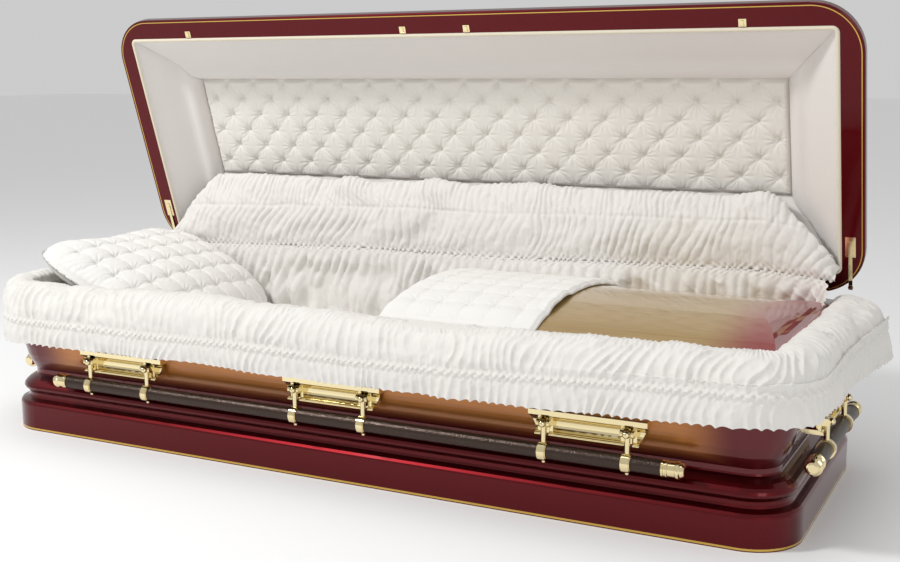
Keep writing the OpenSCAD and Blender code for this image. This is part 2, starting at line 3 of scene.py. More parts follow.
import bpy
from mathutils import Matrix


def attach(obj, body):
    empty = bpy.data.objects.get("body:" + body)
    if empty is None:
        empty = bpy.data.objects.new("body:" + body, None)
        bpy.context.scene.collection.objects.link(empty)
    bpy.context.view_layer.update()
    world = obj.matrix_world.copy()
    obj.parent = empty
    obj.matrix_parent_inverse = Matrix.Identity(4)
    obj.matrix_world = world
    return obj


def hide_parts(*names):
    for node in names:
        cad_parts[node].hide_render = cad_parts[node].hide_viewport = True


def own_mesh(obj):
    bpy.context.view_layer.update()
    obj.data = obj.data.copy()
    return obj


bl_info = {
    "name": "Casket dressing",
    "version": (1, 0, 0),
    "blender": (4, 5, 0),
    "location": "View3D > Sidebar > Casket",
    "description": "Builds the cloth interior and finishes of an open casket round its CAD frame",
    "category": "Object",
}

import math

import bpy
import numpy as np
from bpy.props import FloatProperty, FloatVectorProperty
from mathutils import Matrix, Vector

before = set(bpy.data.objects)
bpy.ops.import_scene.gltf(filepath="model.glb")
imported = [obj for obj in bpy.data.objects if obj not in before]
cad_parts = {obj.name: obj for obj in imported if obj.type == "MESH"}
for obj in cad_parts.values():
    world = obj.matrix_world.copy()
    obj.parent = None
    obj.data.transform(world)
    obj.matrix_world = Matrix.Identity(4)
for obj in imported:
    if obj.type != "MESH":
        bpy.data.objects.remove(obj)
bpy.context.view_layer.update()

# The frame's own sizes, in metres.
HX, HY, CORNER = 1.05, 0.36, 0.11
RIM_REAR = 0.318  # where the rim skirts end, at the rear of both end walls
RIM_Z = 0.389
LID_X, LID_Y, LID_R, LID_Z = 1.058, 0.359, 0.12, 0.394
HINGE = np.array([0.0, 0.3655, 0.393])
OPEN = math.radians(72.6)
COVE_IN, COVE_SIDE, COVE_END, PANEL = 0.064, 0.145, 0.127, 0.110
PANEL_X, PANEL_Y = LID_X - COVE_IN - COVE_END, LID_Y - COVE_IN - COVE_SIDE


# ---------------------------------------------------------------- small helpers
def linear(hexa):
    """An sRGB hex colour as linear RGBA."""
    c = [int(hexa[i : i + 2], 16) / 255 for i in (1, 3, 5)]
    return [v / 12.92 if v <= 0.04045 else ((v + 0.055) / 1.055) ** 2.4 for v in c] + [1]


def add(tree, kind, inputs=None, **attrs):
    """Adds a node; an input is a socket to link or a value to set."""
    node = tree.nodes.new(kind)
    for k, v in attrs.items():
        setattr(node, k, v)
    for k, v in (inputs or {}).items():
        if isinstance(v, bpy.types.NodeSocket):
            tree.links.new(v, node.inputs[k])
        else:
            node.inputs[k].default_value = v
    return node


def calc(tree, operation, a, b=0.0, c=0.0):
    return add(tree, "ShaderNodeMath", {0: a, 1: b, 2: c}, operation=operation).outputs[0]


def ramp(tree, value, lo, hi, out_lo=0.0, out_hi=1.0):
    return add(
        tree, "ShaderNodeMapRange", {0: value, 1: lo, 2: hi, 3: out_lo, 4: out_hi}, interpolation_type="SMOOTHSTEP"
    ).outputs[0]


def mix(tree, factor, a, b):
    return add(tree, "ShaderNodeMix", {0: factor, 6: a, 7: b}, data_type="RGBA").outputs[2]


def material(name, **values):
    """A Principled material with those values set; returns it, its tree and its shader."""
    m = bpy.data.materials.new(name)
    m.use_nodes = True
    shader = m.node_tree.nodes["Principled BSDF"]
    for k, v in values.items():
        shader.inputs[k.replace("_", " ")].default_value = v
    return m, m.node_tree, shader


def place(tree):
    """Object coordinates and their three parts."""
    co = add(tree, "ShaderNodeTexCoord").outputs["Object"]
    xyz = add(tree, "ShaderNodeSeparateXYZ", {0: co}).outputs
    return co, xyz[0], xyz[1], xyz[2]


def smooth(x, lo, hi):
    t = np.clip((x - lo) / (hi - lo), 0, 1)
    return t * t * (3 - 2 * t)


def noise(x, y, seed):
    """Smooth value noise from -1 to 1 on a seeded lattice."""
    t = np.random.default_rng(seed).uniform(-1, 1, (256, 256))
    x, y = np.broadcast_arrays(x, y)
    xi, yi = np.floor(x).astype(int), np.floor(y).astype(int)
    fx, fy = x - xi, y - yi
    fx, fy = (f * f * f * (f * (6 * f - 15) + 10) for f in (fx, fy))
    g = lambda i, j: t[(xi + i) % 256, (yi + j) % 256]
    return (g(0, 0) * (1 - fx) + g(1, 0) * fx) * (1 - fy) + (g(0, 1) * (1 - fx) + g(1, 1) * fx) * fy


def folds(s, d, pitch, run, seed, wander=0.55, sharp=0.8):
    """Gathers across s: rounded ridges and narrow valleys about pitch apart, wandering along d; -0.5 to 0.5."""
    phase = (
        s / pitch + wander * noise(s / (2.6 * pitch), d / run, seed)
        + 0.9 * noise(s / (9 * pitch), d / (2.2 * run), seed + 1)
    )
    high = 0.62 + 0.38 * noise(s / (1.7 * pitch), d / (0.8 * run), seed + 2)
    return (np.abs(np.sin(np.pi * phase)) ** sharp - 0.55) * high


def pucker(s, d, pitch, row, width, seed):
    """Small knots either side of a shirring thread at d = 0."""
    phase = s / pitch + 0.5 * noise(s / (3 * pitch), d / 0.03, seed) + 0.8 * noise(s / (14 * pitch), 0, seed + 1)
    return np.cos(2 * np.pi * phase) * np.cos(np.pi * d / row) * np.exp(-((d / width) ** 2))


def spline(points, count):
    """Catmull-Rom through points[..., k, 2], evenly spaced in the last run's parameter, count samples."""
    p = np.concatenate(
        [2 * points[..., :1, :] - points[..., 1:2, :], points, 2 * points[..., -1:, :] - points[..., -2:-1, :]], -2
    )
    t = np.linspace(0, points.shape[-2] - 1 - 1e-9, count)
    i, f = np.floor(t).astype(int), (t % 1)[:, None]
    a, b, c, d = (p[..., i + k, :] for k in range(4))
    return 0.5 * (2 * b + (c - a) * f + (2 * a - 5 * b + 4 * c - d) * f**2 + (3 * b - a - 3 * c + d) * f**3)


def even(line, count):
    """A polyline line[..., k, 2] resampled so its points are evenly spaced along it."""
    seg = np.linalg.norm(np.diff(line, axis=-2), axis=-1)
    out = np.empty(line.shape[:-2] + (count, 2))
    for i in range(line.shape[0]):
        at = np.concatenate([[0], np.cumsum(seg[i])])
        w = np.linspace(0, at[-1], count)
        out[i, :, 0], out[i, :, 1] = np.interp(w, at, line[i, :, 0]), np.interp(w, at, line[i, :, 1])
    return out


def normals(p):
    """Unit normals of a grid of points p[i, j], along dp/di x dp/dj."""
    n = np.cross(np.gradient(p, axis=0), np.gradient(p, axis=1))
    return n / np.maximum(np.linalg.norm(n, axis=-1, keepdims=True), 1e-12)


def mesh_object(name, verts, faces, mat, uv=None):
    me = bpy.data.meshes.new(name)
    me.from_pydata(verts.reshape(-1, 3).tolist(), [], faces.tolist() if isinstance(faces, np.ndarray) else faces)
    me.polygons.foreach_set("use_smooth", [True] * len(me.polygons))
    if uv is not None:
        layer = me.uv_layers.new(name="cloth")
        index = np.empty(len(me.loops), int)
        me.loops.foreach_get("vertex_index", index)
        layer.data.foreach_set("uv", uv.reshape(-1, 2)[index].ravel())
    me.update()
    ob = bpy.data.objects.new(name, me)
    bpy.context.scene.collection.objects.link(ob)
    me.materials.append(mat)
    return ob


def quads(n, m, loop=False, flip=False, start=0):
    """Faces of an n by m grid of points; loop closes the first direction."""
    i, j = np.meshgrid(np.arange(n if loop else n - 1), np.arange(m - 1), indexing="ij")
    i2 = (i + 1) % n
    f = np.stack([i * m + j, i2 * m + j, i2 * m + j + 1, i * m + j + 1], -1).reshape(-1, 4) + start
    return f[:, ::-1] if flip else f


def sheet_object(name, p, mat, flip=False, loop=False):
    """A single layer of cloth from a grid of points."""
    n, m = p.shape[:2]
    du = np.concatenate([[0], np.cumsum(np.linalg.norm(np.diff(p[:, m // 2], axis=0), axis=1))])
    dv = np.concatenate([[0], np.cumsum(np.linalg.norm(np.diff(p[n // 2], axis=0), axis=1))])
    uv = np.stack(np.meshgrid(du, dv, indexing="ij"), -1)
    return mesh_object(name, p, quads(n, m, loop, flip), mat, uv)


def pad_object(name, top, bottom, rim, mat):
    """A closed pad: top and bottom grids of the same size, and how far its rim bulges past them."""
    n, m = top.shape[:2]
    ring = (
        [(i, 0) for i in range(n)] + [(n - 1, j) for j in range(1, m)] + [(i, m - 1) for i in range(n - 2, -1, -1)]
        + [(0, j) for j in range(m - 2, 0, -1)]
    )
    ii, jj = np.array(ring).T
    mid = (top + bottom) / 2
    out = mid[ii, jj] - mid[np.clip(ii, 2, n - 3), np.clip(jj, 2, m - 3)]
    mid = mid[ii, jj]
    mid = mid + rim * out / np.maximum(np.linalg.norm(out, axis=1, keepdims=True), 1e-9)
    verts = np.concatenate([top.reshape(-1, 3), bottom.reshape(-1, 3), mid])
    faces = [quads(n, m), quads(n, m, flip=True, start=n * m)]
    t, k = ii * m + jj, len(ring)
    b, c = t + n * m, np.arange(k) + 2 * n * m
    r = np.roll
    faces += [np.stack([r(t, -1), t, c, r(c, -1)], -1), np.stack([r(c, -1), c, b, r(b, -1)], -1)]
    return mesh_object(name, verts, np.concatenate(faces), mat)


def to_open(p):
    """Points of the shut lid, turned to where the open lid holds them."""
    q = p - HINGE
    c, s = math.cos(-OPEN), math.sin(-OPEN)
    return np.stack([q[..., 0], q[..., 1] * c - q[..., 2] * s, q[..., 1] * s + q[..., 2] * c], -1) + HINGE


# ---------------------------------------------------------------- materials
def flakes(tree, co, scale, strength):
    grain = add(tree, "ShaderNodeTexNoise", {"Vector": co, "Scale": scale, "Detail": 3.0})
    return ramp(tree, grain.outputs[0], 0.35, 0.65, 1 - strength, 1 + strength)


def tint(tree, colour, factor):
    return add(tree, "ShaderNodeVectorMath", {0: colour, "Scale": factor}, operation="SCALE").outputs[0]


def lid_inset(tree, co):
    """How far in from the lid's outline a point is, and its height over the rim, with the lid shut."""
    v = add(tree, "ShaderNodeVectorMath", {0: co, 1: tuple(HINGE)}, operation="SUBTRACT").outputs[0]
    v = add(tree, "ShaderNodeVectorRotate", {"Vector": v, "Angle": OPEN}, rotation_type="X_AXIS").outputs[0]
    v = add(tree, "ShaderNodeVectorMath", {0: v, 1: tuple(HINGE)}, operation="ADD").outputs[0]
    x, y, z = add(tree, "ShaderNodeSeparateXYZ", {0: v}).outputs
    qx = calc(tree, "SUBTRACT", calc(tree, "ABSOLUTE", x), LID_X - LID_R)
    qy = calc(tree, "SUBTRACT", calc(tree, "ABSOLUTE", y), LID_Y - LID_R)
    corner = calc(
        tree, "SQRT",
        calc(
            tree, "ADD",
            calc(tree, "POWER", calc(tree, "MAXIMUM", qx, 0.0), 2.0),
            calc(tree, "POWER", calc(tree, "MAXIMUM", qy, 0.0), 2.0),
        )
    )
    d = calc(tree, "ADD", corner, calc(tree, "MINIMUM", calc(tree, "MAXIMUM", qx, qy), 0.0))
    return calc(tree, "SUBTRACT", LID_R, d), calc(tree, "SUBTRACT", z, LID_Z)


def stripe(tree, value, middle, half):
    return calc(tree, "LESS_THAN", calc(tree, "ABSOLUTE", calc(tree, "SUBTRACT", value, middle)), half)


def make_materials():
    made, chosen = {}, bpy.context.scene.casket
    # Automotive-style candy lacquer over metallic base: a deep red with fine sparkle under a clear, glossy coat.
    for name in ("base", "lid"):
        m, t, s = material(
            f"candy maroon {name}", Metallic=0.92, Roughness=0.36, Specular_IOR_Level=0.25, Coat_Weight=1.0,
            Coat_Roughness=0.05, Coat_IOR=1.26
        )
        co, x, y, z = place(t)
        colour = tint(t, tuple(chosen.maroon)[:3], flakes(t, co, 900.0, 0.22))
        if name == "base":
            line = stripe(t, z, 0.0045, 0.0022)
        else:
            inset, high = lid_inset(t, co)
            line = calc(t, "MULTIPLY", stripe(t, inset, 0.0075, 0.0011), calc(t, "LESS_THAN", high, 0.002))
        t.links.new(mix(t, line, colour, chosen.pinstripe), s.inputs["Base Color"])
        made[name] = m

    # Brushed copper under lacquer, sprayed darker round its edges: long level streaks that fade into the maroon.
    m, t, s = material(
        "copper panel", Metallic=0.85, Roughness=0.36, Coat_Weight=1.0, Coat_Roughness=0.03, Coat_IOR=1.4
    )
    co, x, y, z = place(t)
    streak = add(t, "ShaderNodeMapping", {"Vector": co, "Scale": (2.2, 2.2, 420.0)}).outputs[0]
    brushed = add(t, "ShaderNodeTexNoise", {"Vector": streak, "Scale": 3.0, "Detail": 5.0}).outputs[0]
    copper = tint(t, tuple(chosen.copper)[:3], ramp(t, brushed, 0.3, 0.7, 0.86, 1.14))
    ends = ramp(t, calc(t, "ABSOLUTE", x), 0.80, 0.93)
    low = ramp(t, z, 0.155, 0.195, 1.0, 0.0)
    high = ramp(t, z, 0.30, 0.37, 0.0, 1.0)
    edge = calc(t, "MAXIMUM", calc(t, "MAXIMUM", ends, low), high)
    t.links.new(mix(t, edge, copper, chosen.wall_edge), s.inputs["Base Color"])
    made["panel"] = m

    # Brushed bronze under thick polish: streaks along the panel below a mirror-like coat.
    m, t, s = material(
        "foot panel bronze", Metallic=0.7, Roughness=0.34, Coat_Weight=1.0, Coat_Roughness=0.012, Coat_IOR=1.7
    )
    co, x, y, z = place(t)
    streak = add(t, "ShaderNodeMapping", {"Vector": co, "Scale": (1.6, 120.0, 120.0)}).outputs[0]
    brushed = add(t, "ShaderNodeTexNoise", {"Vector": streak, "Scale": 3.0, "Detail": 5.0}).outputs[0]
    bronze = tint(t, tuple(chosen.bronze)[:3], ramp(t, brushed, 0.3, 0.7, 0.9, 1.1))
    t.links.new(mix(t, ramp(t, x, 0.82, 0.95), bronze, chosen.foot_end), s.inputs["Base Color"])
    made["foot"] = m

    # Polished, plated brass: pale yellow with sharp reflections. Primer on hidden steel: flat grey.
    made["brass"] = material("polished brass", Base_Color=chosen.brass, Metallic=1.0, Roughness=0.1)[0]
    made["steel"] = material("primed steel", Base_Color=linear("#6f7072"), Metallic=0.4, Roughness=0.6)[0]

    # Hammered lacquer on tube: dark brown with close, shallow dents of about 4 mm.
    m, t, s = material("hammered brown", Base_Color=chosen.bar, Metallic=0.7, Roughness=0.32)
    co, x, y, z = place(t)
    dents = add(t, "ShaderNodeTexNoise", {"Vector": co, "Scale": 260.0, "Detail": 1.0}).outputs[0]
    t.links.new(
        add(t, "ShaderNodeBump", {"Height": dents, "Strength": 0.8, "Distance": 0.0012}).outputs[0],
        s.inputs["Normal"],
    )
    made["bar"] = m

    # Crepe and velvet: matt, with a soft sheen at glancing angles. The weave is drawn at about 1 mm so that it shows.
    fabrics = (
        ("cloth", chosen.cloth, 0.15),
        ("quilt", linear("#eae8e4"), 0.15),
        ("cove", linear("#e2ddd9"), 0.4),
        ("tuft", linear("#e8e4dd"), 0.2),
        ("piping", linear("#e2d9c4"), 0.2),
    )
    for name, colour, sheen in fabrics:
        m, t, s = material(f"{name} fabric", Base_Color=colour, Roughness=0.92, Sheen_Weight=sheen, Sheen_Roughness=0.5)
        co, x, y, z = place(t)
        weave = add(t, "ShaderNodeTexNoise", {"Vector": co, "Scale": 1100.0, "Detail": 2.0}).outputs[0]
        crease = add(t, "ShaderNodeTexNoise", {"Vector": co, "Scale": 120.0, "Detail": 4.0}).outputs[0]
        fine = add(t, "ShaderNodeBump", {"Height": weave, "Strength": 0.35, "Distance": 0.0004}).outputs[0]
        both = add(
            t, "ShaderNodeBump",
            {
                "Height": crease, "Normal": fine,
                "Strength": 0.25 if name in ("cloth", "quilt") else 0.05, "Distance": 0.0015
            }
        ).outputs[0]
        t.links.new(both, s.inputs["Normal"])
        made[name] = m
    return made


def paint_frame(mats):
    """Gives each CAD node its finish."""
    for name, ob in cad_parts.items():
        if name in ("base_moulding",):
            key = "base"
        elif name == "lid_shell":
            key = "lid"
        elif name == "body_shell":
            key = "panel"
        elif name == "foot_panel":
            key = "foot"
        elif name in ("bottom_pan", "bed_frame"):
            key = "steel"
        elif name.endswith("_bar"):
            key = "bar"
        elif name == "lid_piping":
            key = "piping"
        elif "cove" in name:
            key = "cove"
        elif name in ("mattress", "pillow", "body_lining", "throw", "tufted_panel") or "skirt" in name:
            key = "cloth"
        else:
            key = "brass"
        ob.data.materials.clear()
        ob.data.materials.append(mats[key])


# ---------------------------------------------------------------- skirts round the rim
def rim_path(count):
    """Points along the base's outline from the head end's rear, round the front, to the foot end's rear:
    place, outward direction and distance along."""
    rear = RIM_REAR
    side, arc, front = rear + HY - CORNER, CORNER * math.pi / 2 * 1.25, 2 * (HX - CORNER)
    total = 2 * side + 2 * arc + front
    s = np.linspace(0, total, count)
    p, n = np.zeros((count, 2)), np.zeros((count, 2))
    a = s < side
    p[a], n[a] = np.stack([np.full(a.sum(), -HX), rear - s[a]], -1), (-1, 0)
    for start, cx, a0 in ((side, -(HX - CORNER), math.pi), (side + arc + front, HX - CORNER, 1.5 * math.pi)):
        k = (s >= start) & (s < start + arc)
        w = a0 + (s[k] - start) / arc * math.pi / 2
        n[k] = np.stack([np.cos(w), np.sin(w)], -1)
        p[k] = np.array([cx, -(HY - CORNER)]) + CORNER * n[k]
    k = (s >= side + arc) & (s < side + arc + front)
    p[k], n[k] = np.stack([-(HX - CORNER) + s[k] - side - arc, np.full(k.sum(), -HY)], -1), (0, -1)
    k = s >= side + 2 * arc + front
    p[k], n[k] = np.stack([np.full(k.sum(), HX), -(HY - CORNER) + s[k] - (side + 2 * arc + front)], -1), (1, 0)
    return p, n, s


def rim_levels(p, s):
    """Heights of crest, seam and hem, and how far the foot end's rear flares out, along the path."""
    front = np.interp(
        p[:, 0], (-1.05, -0.85, -0.4, 0.05, 0.45, 0.8, 1.05), (0.398, 0.398, 0.406, 0.394, 0.395, 0.400, 0.402)
    )
    crest = front + 0.003 * noise(s / 0.21, 0, 3)
    seam = (
        np.interp(p[:, 0], (-1.05, -0.8, -0.3, 0.1, 0.45, 0.8, 1.05), (0.309, 0.307, 0.310, 0.302, 0.308, 0.324, 0.330))
        + 0.003 * noise(s / 0.17, 0, 4)
    )
    hem = (
        np.interp(p[:, 0], (-1.05, -0.8, -0.3, 0.1, 0.45, 0.8, 1.05), (0.247, 0.247, 0.252, 0.247, 0.251, 0.260, 0.262))
        + 0.003 * noise(s / 0.12, 0, 5)
    )
    flare = smooth(p[:, 1], -0.05, 0.32) * (p[:, 0] > 0.9)
    return crest, seam, hem, flare


def lift(p, n, section):
    """Carries sections [i, j] = (outward, height) along the path."""
    o, z = section[..., 0], section[..., 1]
    return np.stack([p[:, None, 0] + n[:, None, 0] * o, p[:, None, 1] + n[:, None, 1] * o, z], -1)


def make_rim(mats):
    n_s = 1400
    p, n, s = rim_path(n_s)
    crest, seam, hem, flare = rim_levels(p, s)
    covered = smooth(p[:, 0], 0.09, 0.12)
    low = 0.300 + (0.384 - 0.300) * covered - 0.012 * smooth(p[:, 0], 0.97, 1.0) * covered
    f, k = flare, np.ones(n_s)
    slim = 1 - 0.5 * np.clip(-n[:, 0], 0, 1)

    def section(rows, count):
        rows = [(np.where(o > 0, o * slim, o) + 0 * k, z + 0 * k) for o, z in rows]
        return even(spline(np.stack([np.stack(r, -1) for r in rows], 1), 160), count)

    drop, seam_at = seam - hem, (0.036 + 0.030 * f, seam + 0.01 * f)
    roll = section([
        (-0.057, low), (-0.0575, low + (crest - low) * 0.45), (-0.054, crest - 0.008),
        (-0.038, crest + 0.001), (-0.014, crest + 0.002), (0.008 + 0.01 * f, crest - 0.006),
        (0.027 + 0.020 * f, crest - 0.024 + 0.004 * f), (0.037 + 0.027 * f, crest - 0.050 + 0.006 * f),
        (0.040 + 0.030 * f, seam + 0.024 + 0.01 * f), seam_at], 68)
    frill = section(
        [
            seam_at, (0.040 + 0.034 * f, seam - 0.2 * drop),
            (0.041 + 0.038 * f, seam - 0.55 * drop), (0.038 + 0.044 * f, hem + 0.004 * f)
        ],
        34
    )
    row = roll.shape[1]
    base = lift(p, n, np.concatenate([roll, frill[:, 1:]], 1))
    nn = normals(base)
    along = np.cumsum(np.linalg.norm(np.diff(base, axis=1, prepend=base[:, :1]), axis=-1), 1)
    below = along - along[:, row - 1 : row]
    d, S = np.abs(below), s[:, None] + 0 * below
    lean = S + 0.10 * below + 0.014 * noise(S / 0.14, below / 0.09, 19)
    face = smooth(d, 0.004, 0.03) * (1 - smooth(d, 0.080, 0.125))
    top = smooth(d, 0.070, 0.110) * (1 - 0.5 * smooth(d, 0.14, 0.2))
    vary = 0.72 + 0.38 * noise(S / 0.19, below / 0.12, 17)
    up = (
        0.0112 * vary * folds(lean, d, 0.0255, 0.06, 21, sharp=0.7) * face
        + 0.0046 * folds(S, d, 0.0118, 0.07, 31) * top
    )
    up += (
        0.0065 * noise(S / 0.075, d / 0.10, 41) * smooth(d, 0.01, 0.06)
        + 0.0024 * noise(lean / 0.024, d / 0.03, 42) * smooth(d, 0.01, 0.03)
    )
    pleat = folds(S + 0.16 * d + 0.010 * noise(S / 0.1, 0, 57), d, 0.0225, 0.06, 51, sharp=0.9)
    down = (
        (0.005 + 0.0070 * smooth(d, 0.01, 0.06)) * vary * pleat * smooth(d, 0.002, 0.018)
        + 0.0050 * noise(S / 0.06, d / 0.1, 53) * smooth(d, 0.01, 0.05)
    )
    out = np.where(below < 0, up, down) + 0.0036 * folds(S, below, 0.0105, 0.05, 11) * np.exp(-d / 0.018)
    out += (
        0.0036 * pucker(S, below, 0.0170, 0.010, 0.011, 13) + 0.0009 * noise(S / 0.008, below / 0.012, 43)
        + 0.006 * smooth(d, 0.0, 0.012) - 0.006
    )
    q = base + nn * out[..., None]
    q[..., 2] += 0.006 * np.clip(below, 0, None) / below.max() * pleat
    o = ((q[..., :2] - p[:, None]) * n[:, None]).sum(-1)
    ledge = (o > -0.053) & (o < 0.005) & (below < 0)
    q[..., 2] = np.where(ledge, np.maximum(q[..., 2], RIM_Z + 0.0035), q[..., 2])
    rim_roll = sheet_object("rim_roll", q[:, :row], mats["cloth"])
    rim_frill = sheet_object("rim_frill", q[:, row - 1 :], mats["cloth"])
    return rim_roll, rim_frill


# ---------------------------------------------------------------- the rear ruffle and the hanging lining
def rear_seam(x):
    return np.interp(x, (-1.0, -0.82, -0.35, 0.12, 0.54, 0.82, 1.0), (0.418, 0.424, 0.440, 0.441, 0.452, 0.456, 0.440))


def make_ruffle(mats):
    n_s = 900
    x = np.linspace(-0.998, 0.998, n_s)
    top = 0.636 + 0.004 * noise(x / 0.16, 0, 61) + 0.0015 * noise(x / 0.03, 0, 62)
    top = top - 0.176 * np.clip((np.abs(x) - 0.835) / 0.165, 0, 1) ** 1.25
    seam = rear_seam(x) + 0.002 * noise(x / 0.08, 0, 63)
    tall = top - seam
    t = np.array([0, 0.06, 0.22, 0.45, 0.68, 0.86, 0.97, 1.0, 0.95])
    y0 = np.array([0.2965, 0.295, 0.291, 0.292, 0.302, 0.315, 0.330, 0.344, 0.354])
    flat = smooth(np.abs(x), 0.86, 1.0)[:, None]
    plane = 0.3655 - 0.3134 * (seam[:, None] + tall[:, None] * t - 0.393) - 0.012
    y = y0 * (1 - flat) + np.minimum(y0, plane - 0.004 * (1 - t)) * flat
    section = np.stack([y, seam[:, None] + tall[:, None] * t], -1)
    line = even(spline(section, 140), 78)
    base = np.stack([x[:, None] + 0 * line[..., 0], line[..., 0], line[..., 1]], -1)
    nn = -normals(base)
    nn *= np.sign((nn[..., 1:2] * -1).mean())
    along = np.cumsum(np.linalg.norm(np.diff(base, axis=1, prepend=base[:, :1]), axis=-1), 1)
    d = along
    X = x[:, None] + 0 * d
    S = (
        X - np.interp(X, (-1, 0.1, 0.6, 1), (0.40, 0.34, 0.12, -0.15)) * d * (1 - smooth(d, 0.11, 0.16))
        + 0.014 * noise(X / 0.16, d / 0.10, 70)
    )
    out = 0.0040 * folds(X, d, 0.0105, 0.05, 71) * np.exp(-d / 0.018) + 0.0044 * pucker(X, d, 0.0185, 0.011, 0.014, 78)
    vary = 0.74 + 0.36 * noise(X / 0.2, d / 0.1, 72)
    out += 0.0078 * vary * folds(
        S, d, 0.0255, 0.07, 73, sharp=0.65
    ) * smooth(d, 0.004, 0.03) * (1 - 0.45 * smooth(d, 0.10, 0.15))
    out += 0.0050 * folds(X, d, 0.0165, 0.06, 75) * smooth(d, 0.10, 0.13)
    out += (
        0.009 * noise(S / 0.09, d / 0.10, 77) * smooth(d, 0.01, 0.07)
        + 0.0022 * noise(S / 0.024, d / 0.03, 76) * smooth(d, 0.01, 0.03)
    )
    out += 0.0010 * noise(X / 0.008, d / 0.012, 79)
    out -= 0.0030 * np.exp(-(((d - 0.122) / 0.004) ** 2)) * (0.7 + 0.3 * noise(X / 0.03, 0, 80))
    ruffle = sheet_object("rear_ruffle", base + nn * out[..., None], mats["cloth"], flip=True)
    ends(ruffle)
    return ruffle


def ends(ob):
    """Turns a sheet's faces to look away from the wall behind it (to -Y)."""
    me = ob.data
    total = Vector((0, 0, 0))
    for f in me.polygons:
        total += f.normal * f.area
    if total.y > 0:
        me.flip_normals()


def make_drape(mats):
    """The lining hangs from the rear seam, goes round the head end and along the front as far as the foot panel."""
    h, r = (HX - 0.0595, HY - 0.0605), 0.05
    pieces = [
        ((h[0], 0.215), (h[0], h[1] - r)), None, ((h[0] - r, h[1]), (-(h[0] - r), h[1])), None,
        ((-h[0], h[1] - r), (-h[0], -(h[1] - r))), None, ((-(h[0] - r), -h[1]), (0.10, -h[1]))
    ]
    pts, nrm = [], []
    for k, seg in enumerate(pieces):
        if seg is None:
            c = np.array([(h[0] - r) * (1 if k == 1 else -1), (h[1] - r) * (-1 if k == 5 else 1)])
            w = np.linspace((k - 1) / 4 * math.pi, (k + 1) / 4 * math.pi, 24)[1:-1]
            e = np.stack([np.cos(w), np.sin(w)], -1)
            pts.append(c + r * e)
            nrm.append(-e)
        else:
            a, b = np.array(seg)
            count = max(int(np.linalg.norm(b - a) / 0.0042), 2)
            pts.append(a + (b - a) * np.linspace(0, 1, count)[:, None])
            nrm.append(np.tile([(-1, 0), (0, -1), (1, 0), (0, 1)][k // 2], (count, 1)))
    p, n = np.concatenate(pts), np.concatenate(nrm).astype(float)
    s = np.concatenate([[0], np.cumsum(np.linalg.norm(np.diff(p, axis=0), axis=1))])
    rear = (p[:, 1] > 0.25) | (p[:, 0] > 0.5)
    top = np.where(rear, rear_seam(p[:, 0]) + 0.002, 0.380)
    top = top - (top - 0.380) * smooth(-p[:, 0], 0.93, 0.985) * rear
    top = top - (top - 0.402) * (1 - smooth(p[:, 1], 0.215, 0.285)) * (p[:, 0] > 0.9)
    bottom = 0.2 + 0.186 * smooth(p[:, 0], 0.085, 0.12) * rear - 0.012 * smooth(p[:, 0], 0.95, 0.985)
    m = 60
    v = np.linspace(0, 1, m)
    z = top[:, None] + (bottom - top)[:, None] * v
    d = top[:, None] - z
    S = s[:, None] + 0 * z
    lean = S + 0.30 * d * noise(S / 0.45, 0, 81)
    back = rear[:, None] * 1.0
    out = (
        0.004 * folds(S, d, 0.011, 0.05, 83) * np.exp(-d / 0.018)
        + 0.0040 * pucker(S, d, 0.0185, 0.011, 0.014, 78) * back
    )
    out += 0.012 * folds(lean, d, 0.030, 0.10, 85) * smooth(d, 0.003, 0.03) * (1 - 0.6 * smooth(d, 0.05, 0.15))
    out += 0.024 * folds(lean, d, 0.078, 0.22, 87, sharp=1.0) * smooth(d, 0.02, 0.12)
    out += (
        0.012 * noise(lean / 0.06, d / 0.07, 89) * smooth(d, 0.02, 0.08)
        + 0.004 * np.abs(noise(lean / 0.03, d / 0.05, 90)) * smooth(d, 0.01, 0.04)
        + 0.0008 * noise(S / 0.01, d / 0.02, 91)
    )
    crease = (1 - np.abs(noise((S + 1.1 * d) / 0.04, (S - 0.9 * d) / 0.12, 92))) ** 4
    out += (0.0022 + 0.0045 * smooth(p[:, :1], 0.35, 0.75) * back) * (crease - 0.3) * smooth(d, 0.012, 0.05)
    over = smooth(p[:, 0], 0.085, 0.12)[:, None] * rear[:, None]
    out = np.maximum(out + 0.008 - 0.006 * np.exp(-d / 0.005) * back, 0.0005) + 0.004 * over * smooth(d, 0.0, 0.04)
    q = np.stack([p[:, None, 0] + n[:, None, 0] * out, p[:, None, 1] + n[:, None, 1] * out, z], -1)
    drape = sheet_object("wall_drape", q, mats["cloth"])
    ends(drape)
    return drape


# ---------------------------------------------------------------- quilted pieces
def quilting(u, w, pitch, depth):
    """Puffs between stitched lines, with small tucks radiating from each crossing; negative at the lines."""
    a, b = u / pitch, w / pitch
    ru, rw = (a - np.round(a)) * pitch, (b - np.round(b)) * pitch
    r, ang = np.hypot(ru, rw), np.arctan2(rw, ru)
    seed = np.round(a) * 1.7 + np.round(b) * 2.3
    line = np.exp(-np.abs(ru) / 0.0065) + np.exp(-np.abs(rw) / 0.0065)
    dish = np.exp(-r / 0.018)
    rays = np.abs(np.sin(5 * ang + 0.8 * np.sin(seed + 2 * ang))) ** 0.7 - 0.6
    star = rays * smooth(r, 0.002, 0.008) * np.exp(-(((r - 0.009) / 0.016) ** 2))
    return -0.40 * depth * np.minimum(line, 1.2) - 0.75 * depth * dish + 0.42 * depth * star


